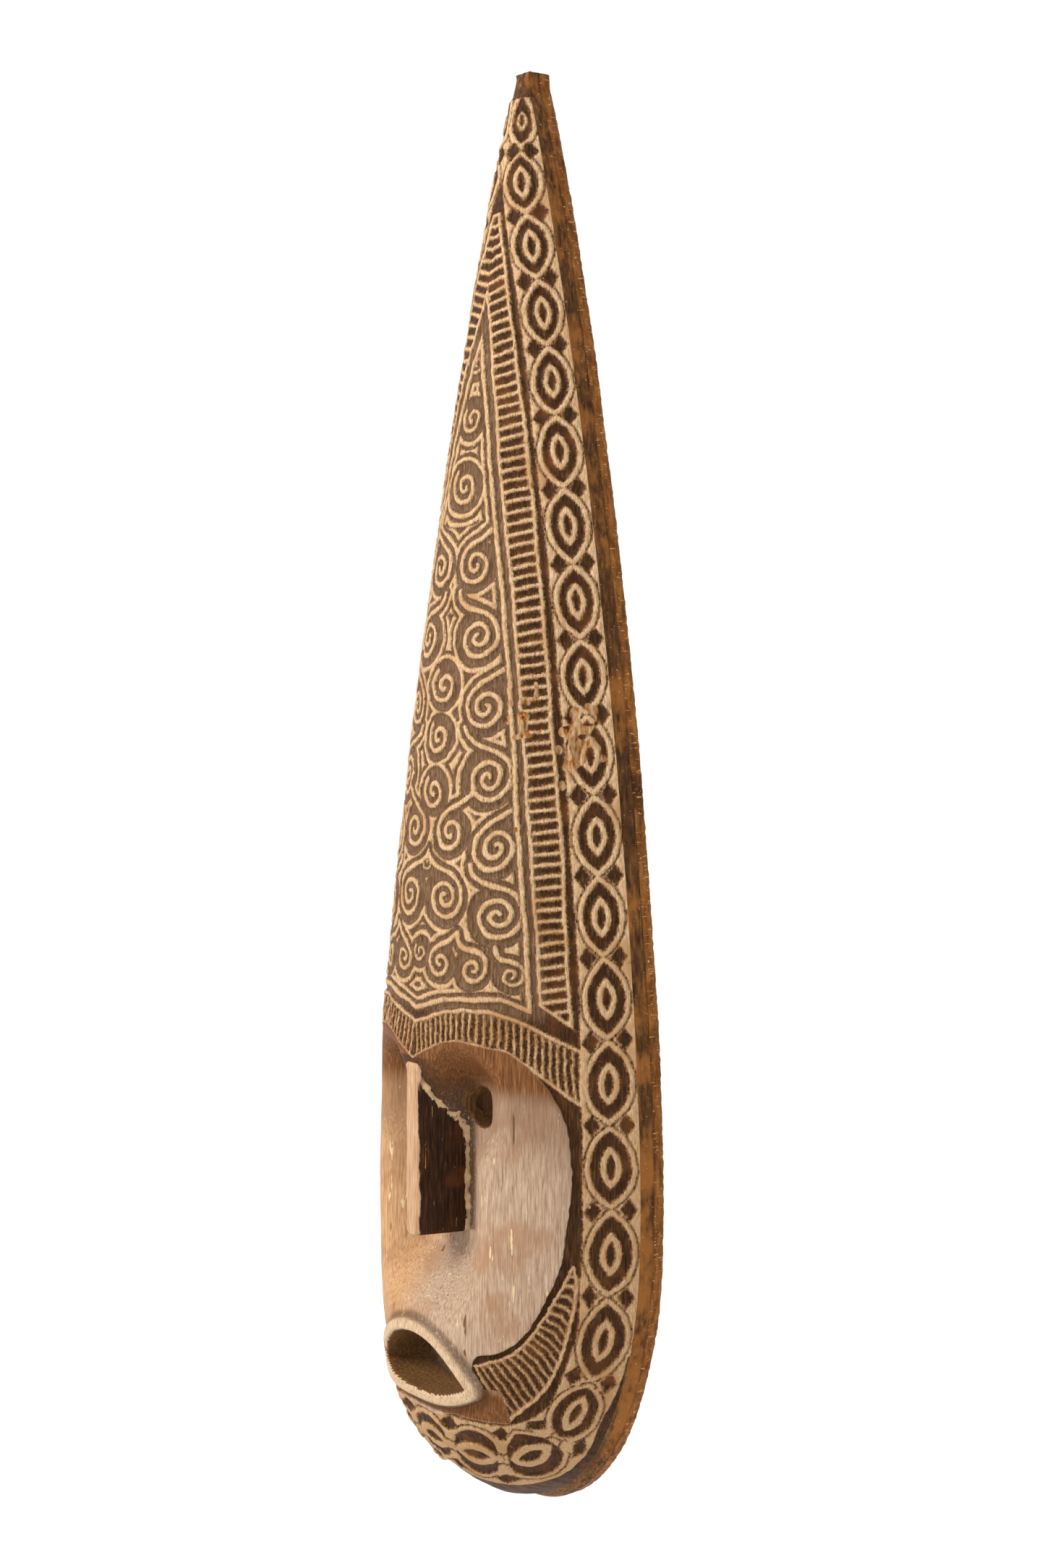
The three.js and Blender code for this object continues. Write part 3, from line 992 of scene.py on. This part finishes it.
def nose():
    """Slab nose: a wedge with adzed faces, softened edges and a chipped foot."""
    rows, around = 150, 30
    loops = []
    facets = Waves(60, 30, stretch=(1, 1, 2.5))
    chips = Waves(61, 5, stretch=(1, 1, 1.6))
    front_edge = Waves(62, 24)
    for row in range(rows + 1):
        z = mix(NOSE["bottom"], NOSE["top"] - 0.3, row / rows)
        near_end = min(z - NOSE["bottom"], NOSE["top"] - z)
        soft = 1.2 * (1 - ease(0, 2.2, near_end))
        side = []
        for i in range(around + 1):
            depth = mix(NOSE["back"], NOSE["front"], (i / around) ** 0.8)
            half = nose_half_width(depth)
            rounding = 1.7 * ease(NOSE["front"] - 3.2, NOSE["front"], depth) ** 2
            dent = 0.45 * facets(40.0, depth, z) + 0.16 * chips(40.0, depth, z)
            foot = ease(6, 0, abs(depth - float(front_depth(np.array([half]), z)[0]) - 0.5))
            half += 0.9 * foot * (0.4 + chips(0.0, depth, 2 * z))
            side.append((half - rounding - soft - 0.3 + dent, depth - 0.3 - 0.4 * soft))
        front = side[-1][0]
        face = []
        for i in range(1, 12):
            x = mix(front, -front, i / 12)
            face.append((x, side[-1][1] + 0.25 * facets(x, 130.0, z)))
        loop = side + face + [(-x, depth) for x, depth in side[::-1]]
        loop = [(x, min(depth + 0.2 * front_edge(x, 0, z), NOSE["front"]), z) for x, depth in loop]
        loops.append(loop)
    obj = loft("nose_carved", loops)
    x, depth, z = vertex_places(obj)
    above_face = depth - front_depth(np.abs(x).astype(float), z.astype(float))
    store(obj, "worn", 9 - np.clip(above_face, 0, 9))
    for side in (-1, 1):
        boolean(obj, eye_cutter(side), "DIFFERENCE")
    obj.data.shade_smooth()
    return obj


# ---------------------------------------------------------------- back rim


def rim_inner(z):
    down = np.clip((WIDEST_AT - z) / (WIDEST_AT - RIM_WIDTH), 0, 1)
    low = (HALF_WIDTH - RIM_WIDTH) * np.sqrt(1 - down**2.3)
    return np.where(z < WIDEST_AT, low, half_width(z) - RIM_WIDTH)


def back_rim(side):
    """Rasped strip round the back: a loop of section at each place along the edge."""
    count = 620
    heights = row_heights()
    z_out = np.interp(np.linspace(0, len(heights) - 1, count), np.arange(len(heights)), heights)
    z_out = np.r_[0, z_out]
    out_x = half_width(z_out)
    z_in = mix(RIM_WIDTH, HEIGHT, np.clip((z_out - 0.5) / (HEIGHT - 0.5), 0, 1))
    in_x = np.maximum(rim_inner(z_in), 0.15)
    rasp = Waves(70, 7, stretch=(1, 1, 0.8))
    wave = Waves(71, 60)
    loops = []
    for i in range(count + 1):
        loop = []
        outer = np.array([out_x[i], z_out[i]])
        inner = np.array([in_x[i], z_in[i]])
        for depth in np.linspace(0.2, RIM_DEPTH - 0.1, 7):
            edge = 0.5 * ease(1.2, 0, min(depth, RIM_DEPTH - depth))
            dent = 0.35 + edge + 0.3 * rasp(side * outer[0], depth, outer[1])
            dent += 0.35 * wave(side * outer[0], 0, outer[1])
            loop.append((max(outer[0] - max(dent, 0.05), 0.15), depth, outer[1]))
        for t in np.linspace(0, 1, 6)[1:-1]:
            spot = mix(outer, inner, t)
            loop.append((spot[0], RIM_DEPTH - 0.05, spot[1]))
        for depth in np.linspace(RIM_DEPTH - 0.1, 0.2, 4):
            loop.append((inner[0], depth, inner[1]))
        for t in np.linspace(0, 1, 6)[1:-1]:
            spot = mix(inner, outer, t)
            rough = 0.12 + 0.1 * rasp(side * spot[0], 40, spot[1])
            loop.append((spot[0], rough, spot[1]))
        loops.append([(side * max(x, 0.15), depth, z) for x, depth, z in loop])
    name = "rim_strip_right" if side > 0 else "rim_strip_left"
    return loft(name, loops)


# ---------------------------------------------------------------- materials


EXPOSURE = 0.72  # the studio lights a surface by more than its own colour


def srgb(red, green, blue):
    """Linear colour from 0-255 sRGB."""
    def channel(value):
        value /= 255
        linear = value / 12.92 if value <= 0.04045 else ((value + 0.055) / 1.055) ** 2.4
        return linear * EXPOSURE

    return (channel(red), channel(green), channel(blue), 1)


class Paint:
    """A node material with a Principled shader and short calls for its nodes."""

    def __init__(self, name, roughness=0.5, metallic=0.0):
        self.material = bpy.data.materials.new(name)
        self.material.use_nodes = True
        self.tree = self.material.node_tree
        self.shader = self.tree.nodes["Principled BSDF"]
        self.shader.inputs["Roughness"].default_value = roughness
        self.shader.inputs["Metallic"].default_value = metallic
        self.shader.inputs["Specular IOR Level"].default_value = 0.5 if metallic else 0.08
        self.coordinates = self.add("ShaderNodeTexCoord").outputs["Object"]

    def add(self, kind):
        return self.tree.nodes.new(kind)

    def feed(self, socket, value):
        if isinstance(value, bpy.types.NodeSocket):
            self.tree.links.new(value, socket)
        else:
            socket.default_value = value

    def noise(self, scale, detail=3.0, rough=0.55, stretch=(1, 1, 1)):
        """Noise with `scale` cells per metre, divided by stretch on each axis."""
        mapping = self.add("ShaderNodeMapping")
        self.feed(mapping.inputs["Vector"], self.coordinates)
        mapping.inputs["Scale"].default_value = [1 / s for s in stretch]
        node = self.add("ShaderNodeTexNoise")
        self.feed(node.inputs["Vector"], mapping.outputs["Vector"])
        node.inputs["Scale"].default_value = scale
        node.inputs["Detail"].default_value = detail
        node.inputs["Roughness"].default_value = rough
        return node.outputs["Fac"]

    def math(self, operation, a, b=0.0, c=0.0):
        node = self.add("ShaderNodeMath")
        node.operation = operation
        for socket, value in zip(node.inputs, (a, b, c)):
            self.feed(socket, value)
        return node.outputs["Value"]

    def step(self, value, low, high):
        """0 below low and 1 above high, smooth between."""
        node = self.add("ShaderNodeMapRange")
        node.interpolation_type = "SMOOTHSTEP"
        self.feed(node.inputs["Value"], value)
        node.inputs["From Min"].default_value = low
        node.inputs["From Max"].default_value = high
        return node.outputs["Result"]

    def ramp(self, value, *stops):
        """Colours from a value; each stop is its position and a 0-255 sRGB colour."""
        node = self.add("ShaderNodeValToRGB")
        self.feed(node.inputs["Fac"], value)
        elements = node.color_ramp.elements
        while len(elements) < len(stops):
            elements.new(0.5)
        for element, (position, *color) in zip(elements, stops):
            element.position = position
            element.color = srgb(*color)
        return node.outputs["Color"]

    def blend(self, factor, a, b):
        """From a to b; each is a socket or a 0-255 sRGB colour."""
        node = self.add("ShaderNodeMix")
        node.data_type = "RGBA"
        self.feed(node.inputs["Factor"], factor)
        sockets = [s for s in node.inputs if s.type == "RGBA"]
        for socket, value in zip(sockets, (a, b)):
            self.feed(socket, srgb(*value) if isinstance(value, tuple) else value)
        return next(s for s in node.outputs if s.type == "RGBA")

    def attribute(self, name):
        node = self.add("ShaderNodeAttribute")
        node.attribute_name = name
        return node.outputs["Fac"]

    def place(self):
        """The x, depth and z sockets in metres."""
        node = self.add("ShaderNodeSeparateXYZ")
        self.feed(node.inputs["Vector"], self.coordinates)
        return node.outputs

    def finish(self, color, roughness=None, height=None, distance=0.0003, strength=1.0):
        self.feed(self.shader.inputs["Base Color"], color)
        if roughness is not None:
            self.feed(self.shader.inputs["Roughness"], roughness)
        if height is not None:
            bump = self.add("ShaderNodeBump")
            self.feed(bump.inputs["Height"], height)
            bump.inputs["Distance"].default_value = distance
            bump.inputs["Strength"].default_value = strength
            self.feed(self.shader.inputs["Normal"], bump.outputs["Normal"])
        return self.material


GRAIN = (1, 1, 14)  # wood grain runs up the mask


def carved_paint():
    """Pale ridges, dark stained hollows, and the smooth face, lip and lid, with painted shade and
    painted sheen in places.
    """
    p = Paint("stained_carved_wood", 0.55)
    grain = p.noise(900, 3, 0.6, GRAIN)
    fibre = p.noise(1500, 2, 0.6, (1, 1, 8))
    patches = p.noise(28, 3, 0.6)
    broad = p.noise(11, 2, 0.5)
    speck = p.noise(520, 3, 0.6)
    cut = p.attribute("cut")
    plate = p.attribute("plate")
    x, _, z = p.place()

    edge = p.math("MULTIPLY_ADD", fibre, 1.6, -0.8)
    edge = p.math("ADD", edge, p.math("MULTIPLY_ADD", speck, 1.9, -0.95))
    edge = p.math("ADD", cut, edge)
    pale_amount = p.step(edge, -0.1, 0.3)
    # rim is the outer edge of each pale ridge, beside the hollow, which gets painted shade.
    rim = p.math("SUBTRACT", pale_amount, p.step(edge, 0.35, 1.1))

    pale = p.ramp(
        fibre, (0.25, 158, 114, 72), (0.5, 207, 170, 128), (0.75, 234, 206, 168)
    )
    pale = p.blend(p.step(patches, 0.5, 0.7), pale, (192, 148, 104))
    low = p.step(z, CHIN + 0.48, CHIN + 0.2)
    pale = p.blend(p.math("MULTIPLY", low, 0.4), pale, (150, 110, 68))
    # Painted shade along the edges of the pale ridges.
    pale = p.blend(p.math("MULTIPLY", rim, 0.75), pale, (124, 84, 48))
    dark = p.ramp(grain, (0.3, 40, 22, 8), (0.55, 72, 44, 20), (0.8, 120, 82, 46))
    dark = p.blend(p.step(p.noise(45, 3), 0.52, 0.72), dark, (98, 58, 28))
    halo = p.math("MULTIPLY", p.step(edge, -1.2, -0.1), p.step(speck, 0.46, 0.6))
    dark = p.blend(p.math("MULTIPLY", halo, 0.6), dark, (150, 98, 52))

    # Painted sheen: the hollows of the scroll panel above the brow are a greyer, lighter brown,
    # with painted shade at the foot of each ridge.
    panel_sheen = p.math("MULTIPLY", p.step(z, CHIN + 0.352, CHIN + 0.362), p.attribute("panel"))
    grey = p.ramp(grain, (0.3, 76, 50, 30), (0.55, 118, 88, 62), (0.8, 160, 128, 98))
    grey = p.blend(p.math("MULTIPLY", p.step(edge, -0.9, 0.0), 0.7), grey, (74, 48, 28))
    dark = p.blend(panel_sheen, dark, grey)

    skin = p.ramp(
        grain, (0.25, 138, 108, 84), (0.5, 184, 154, 128), (0.78, 216, 190, 164)
    )
    # The left half of the face is a warmer tan: partly the wood's own tone, partly painted light
    # from the key on that side.
    warm_lit_skin = p.ramp(
        grain, (0.25, 160, 112, 72), (0.5, 200, 154, 110), (0.78, 224, 184, 142)
    )
    left = p.math("ADD", x, p.math("MULTIPLY_ADD", broad, 0.05, -0.025))
    skin = p.blend(p.step(left, 0.004, -0.03), skin, warm_lit_skin)
    skin = p.blend(p.math("MULTIPLY", p.step(patches, 0.5, 0.68), 0.6), skin, (168, 122, 88))
    # Painted shade: the skin darkens towards the brow, under its overhang.
    upper = p.math("ADD", z, p.math("MULTIPLY", broad, 0.06))
    high = p.step(upper, CHIN + 0.27, CHIN + 0.33)
    skin = p.blend(p.math("MULTIPLY", high, 0.6), skin, (134, 98, 72))
    scuff = p.noise(240, 3, 0.65, (1, 1, 6))
    skin = p.blend(p.step(scuff, 0.655, 0.69), skin, (232, 202, 156))
    crack = p.noise(170, 2, 0.5, (1, 1, 12))
    skin = p.blend(p.step(crack, 0.7, 0.73), skin, (112, 80, 56))
    brown = p.ramp(grain, (0.3, 88, 50, 24), (0.55, 128, 82, 46), (0.8, 170, 120, 76))
    # Darker brown skin: painted shade under the brow, and the darker brown below the lip and
    # beneath the border at the chin.
    skin = p.blend(p.attribute("brown"), skin, brown)
    lip = p.attribute("lip")
    lip_pale = p.step(p.math("ADD", lip, p.math("MULTIPLY", speck, 2)), 9.6, 8.6)
    lip_color = p.ramp(fibre, (0.3, 172, 134, 98), (0.55, 214, 184, 150), (0.8, 234, 210, 180))
    lip_color = p.blend(p.step(crack, 0.66, 0.7), lip_color, (120, 84, 56))
    skin = p.blend(lip_pale, skin, lip_color)
    shade = p.math("MULTIPLY", p.attribute("shade"), p.step(speck, 0.2, 0.5))
    skin = p.blend(p.math("MULTIPLY", shade, 0.85), skin, (66, 42, 26))
    on_plate = p.step(plate, -0.2, 0.3)

    color = p.blend(pale_amount, dark, pale)
    color = p.blend(on_plate, color, skin)
    raw = p.ramp(
        p.noise(330, 3, 0.6, (1, 1, 4)), (0.34, 70, 42, 20), (0.45, 172, 106, 48),
        (0.52, 176, 138, 96), (0.72, 212, 180, 138)
    )
    color = p.blend(p.step(p.attribute("torn"), 0.3, 0.6), color, raw)
    rough = p.math("MULTIPLY_ADD", pale_amount, 0.2, 0.55)
    height = p.math("ADD", p.math("MULTIPLY", grain, 0.6), p.math("MULTIPLY", fibre, 0.4))
    return p.finish(color, rough, height, 0.0006, 0.9)


def inside_paint():
    """Raw, gouged wood of the hollow and of the cut openings."""
    p = Paint("raw_gouged_wood", 0.75)
    grain = p.noise(500, 4, 0.6, GRAIN)
    stain = p.noise(14, 3, 0.6)
    color = p.ramp(grain, (0.3, 84, 54, 26), (0.55, 122, 86, 48), (0.8, 160, 120, 74))
    color = p.blend(p.step(stain, 0.45, 0.7), color, (88, 56, 34))
    return p.finish(color, None, grain, 0.0006, 0.8)


def wall_paint():
    """Stained side of the front block, rubbed to orange-brown."""
    p = Paint("stained_side_wood", 0.5)
    grain = p.noise(420, 4, 0.6, (1, 1, 6))
    patches = p.noise(24, 4, 0.6)
    speck = p.noise(700, 2, 0.5)
    color = p.ramp(grain, (0.3, 50, 28, 10), (0.55, 92, 58, 28), (0.8, 142, 96, 50))
    rub = p.math("ADD", patches, p.math("MULTIPLY", grain, 0.25))
    color = p.blend(p.step(rub, 0.58, 0.78), color, (150, 94, 42))
    color = p.blend(p.step(speck, 0.7, 0.74), color, (214, 176, 128))
    return p.finish(color, None, grain, 0.0005, 0.7)


def rim_paint():
    """Rasped orange-brown strip with cross ticks."""
    p = Paint("rasped_orange_wood", 0.62)
    grain = p.noise(300, 4, 0.6, (1, 1, 5))
    ticks = p.noise(900, 2, 0.6, (6, 6, 1))
    patches = p.noise(20, 4, 0.6)
    speck = p.noise(600, 2, 0.5)
    color = p.ramp(grain, (0.3, 92, 50, 18), (0.55, 142, 88, 38), (0.8, 178, 122, 64))
    color = p.blend(p.step(patches, 0.5, 0.68), color, (70, 40, 20))
    color = p.blend(p.step(ticks, 0.62, 0.68), color, (198, 150, 92))
    color = p.blend(p.step(speck, 0.71, 0.75), color, (226, 198, 156))
    height = p.math("ADD", ticks, grain)
    return p.finish(color, None, height, 0.0005, 0.7)


def nose_paint():
    """Near-black nose, rubbed pale along its foot; its pale front face is partly worn wood and
    partly a painted highlight.
    """
    p = Paint("dark_nose_wood", 0.45)
    grain = p.noise(800, 3, 0.6, GRAIN)
    fleck = p.noise(420, 3, 0.65, (1, 1, 9))
    patches = p.noise(30, 3)
    _, depth, z = p.place()
    color = p.ramp(grain, (0.3, 26, 13, 6), (0.55, 58, 34, 18), (0.82, 98, 64, 38))
    color = p.blend(p.step(patches, 0.52, 0.7), color, (84, 46, 20))
    color = p.blend(p.step(fleck, 0.68, 0.71), color, (190, 140, 84))
    wobble = p.math("MULTIPLY_ADD", p.noise(260, 3, 0.6, (1, 1, 3)), 0.005, -0.0025)
    forward = p.math("ADD", p.math("MULTIPLY", depth, -1), wobble)
    front = p.step(forward, 0.1098, 0.1108)
    chips = p.math("MULTIPLY", p.noise(330, 3, 0.6, (1, 1, 3)), 6)
    worn = p.step(p.math("SUBTRACT", p.attribute("worn"), chips), 1.6, 2.6)
    worn = p.math("MULTIPLY", worn, p.step(z, CHIN + 0.314, CHIN + 0.304))
    # Pale front face: partly the worn wood, partly a painted highlight where it faces the light.
    ridge = p.ramp(grain, (0.3, 176, 130, 92), (0.6, 206, 168, 134), (0.8, 226, 196, 166))
    color = p.blend(front, color, ridge)
    color = p.blend(worn, color, (214, 178, 136))
    return p.finish(color, None, grain, 0.0005, 0.8)


def dowel_paint():
    p = Paint("raw_dowel_wood", 0.7)
    grain = p.noise(700, 3, 0.6, (1, 8, 1))
    color = p.ramp(grain, (0.3, 140, 98, 58), (0.7, 196, 156, 108))
    return p.finish(color, None, grain, 0.0003, 0.6)


def metal_paint(name, low, high, roughness):
    """Brushed metal between two tones, with duller patches."""
    p = Paint(name, roughness, 1.0)
    brush = p.noise(900, 3, 0.6, (1, 1, 10))
    dull = p.noise(160, 3, 0.6)
    color = p.ramp(brush, (0.3, *low), (0.7, *high))
    color = p.blend(p.step(dull, 0.56, 0.7), color, (120, 112, 98))
    rough = p.math("MULTIPLY_ADD", dull, 0.3, roughness - 0.1)
    return p.finish(color, rough, brush, 0.0001, 0.4)


# ---------------------------------------------------------------- camera, lights, stage


FLOOR_BELOW = 0.6  # the mask hangs, so the floor is well below its chin


def direction(azimuth, elevation):
    """Unit vector from the mask, in degrees round to its right and up."""
    a, e = math.radians(azimuth), math.radians(elevation)
    return Vector((math.sin(a) * math.cos(e), -math.cos(a) * math.cos(e), math.sin(e)))


def look_at(obj, target):
    obj.rotation_euler = (Vector(target) - obj.location).to_track_quat("-Z", "Y").to_euler()


def camera():
    """53 degrees to the mask's right, a little above its middle."""
    target = Vector(place([(0, 50, 490)])[0])
    data = bpy.data.cameras.new("camera")
    data.sensor_width = 36
    data.lens = 50.35
    data.shift_x = 0.0241
    data.shift_y = 0.0158
    obj = bpy.data.objects.new("camera", data)
    obj.location = target + direction(53, 4) * 1.507
    bpy.context.scene.collection.objects.link(obj)
    look_at(obj, target)
    bpy.context.scene.camera = obj


def area_light(name, azimuth, elevation, distance, size, power, color):
    data = bpy.data.lights.new(name, "AREA")
    data.shape = "RECTANGLE"
    data.size, data.size_y = size
    data.energy = power
    data.color = color
    obj = bpy.data.objects.new(name, data)
    middle = Vector(place([(0, 50, 480)])[0])
    obj.location = middle + direction(azimuth, elevation) * distance
    bpy.context.scene.collection.objects.link(obj)
    look_at(obj, middle)


def studio():
    world = bpy.data.worlds.new("studio")
    bpy.context.scene.world = world
    world.use_nodes = True
    background = world.node_tree.nodes["Background"]
    background.inputs["Color"].default_value = (1, 1, 1, 1)
    background.inputs["Strength"].default_value = 1.03
    area_light("key", -20, 30, 2.2, (0.7, 1.2), 52, (1, 0.97, 0.92))
    area_light("fill", 80, 12, 3.0, (1.2, 2.2), 12, (1, 0.98, 0.96))

    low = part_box("mask_shell")[0].z - FLOOR_BELOW
    size = 60
    corners = [(-size, -size), (size, -size), (size, size), (-size, size)]
    mesh = bpy.data.meshes.new("floor")
    mesh.from_pydata([(x, y, low) for x, y in corners], [], [(0, 1, 2, 3)])
    floor = bpy.data.objects.new("floor", mesh)
    bpy.context.scene.collection.objects.link(floor)
    p = Paint("pale_floor", 0.95)
    pale = p.math("MULTIPLY_ADD", p.noise(0.5, 1), 0.02, 0.975)
    floor.data.materials.append(p.finish(pale))
    bpy.context.scene.view_settings.view_transform = "Standard"


# ---------------------------------------------------------------- assembly


def region_materials(shell):
    """Gives the front, the side wall and the inside of the shell their own finishes."""
    mesh = shell.data
    mesh.materials.clear()
    for material in (carved_paint(), wall_paint(), inside_paint()):
        mesh.materials.append(material)
    front = np.empty(len(mesh.vertices), np.float32)
    mesh.attributes["front"].data.foreach_get("value", front)
    x, depth, z = vertex_places(shell)
    outer = np.abs(x) > half_width(z) - 5
    tip = z > PLAIN_TIP
    for face in mesh.polygons:
        corners = list(face.vertices)
        if tip[corners].all():
            face.material_index = 1
        elif front[corners].min() > 0.5:
            face.material_index = 0
        elif depth[corners].max() < EDGE_DEPTH + 2 and outer[corners].all():
            face.material_index = 1
        else:
            face.material_index = 2


def dress(node, material):
    """Gives a CAD solid that stays visible its material."""
    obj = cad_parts[node]
    obj.data.materials.clear()
    obj.data.materials.append(material)


def replace(piece, node, material=None):
    """Puts a carved piece in the place of its CAD solid."""
    if material:
        piece.data.materials.clear()
        piece.data.materials.append(material)
    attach(piece, "mask")
    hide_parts(node)


camera()
shell = mask_shell()
region_materials(shell)
replace(shell, "mask_shell")
replace(nose(), "nose", nose_paint())
rim = rim_paint()
replace(back_rim(1), "back_rim_right", rim)
replace(back_rim(-1), "back_rim_left", rim)
dowel = dowel_paint()
dress("nose_peg_upper", dowel)
dress("nose_peg_lower", dowel)
zinc = metal_paint("zinc_plated_steel", (150, 148, 140), (196, 194, 186), 0.42)
dress("hanger_strap", zinc)
dress("hanger_screw_upper", zinc)
dress("hanger_screw_lower", zinc)
dress("hanger_ring", metal_paint("drawn_steel_wire", (140, 136, 128), (186, 182, 172), 0.36))
studio()
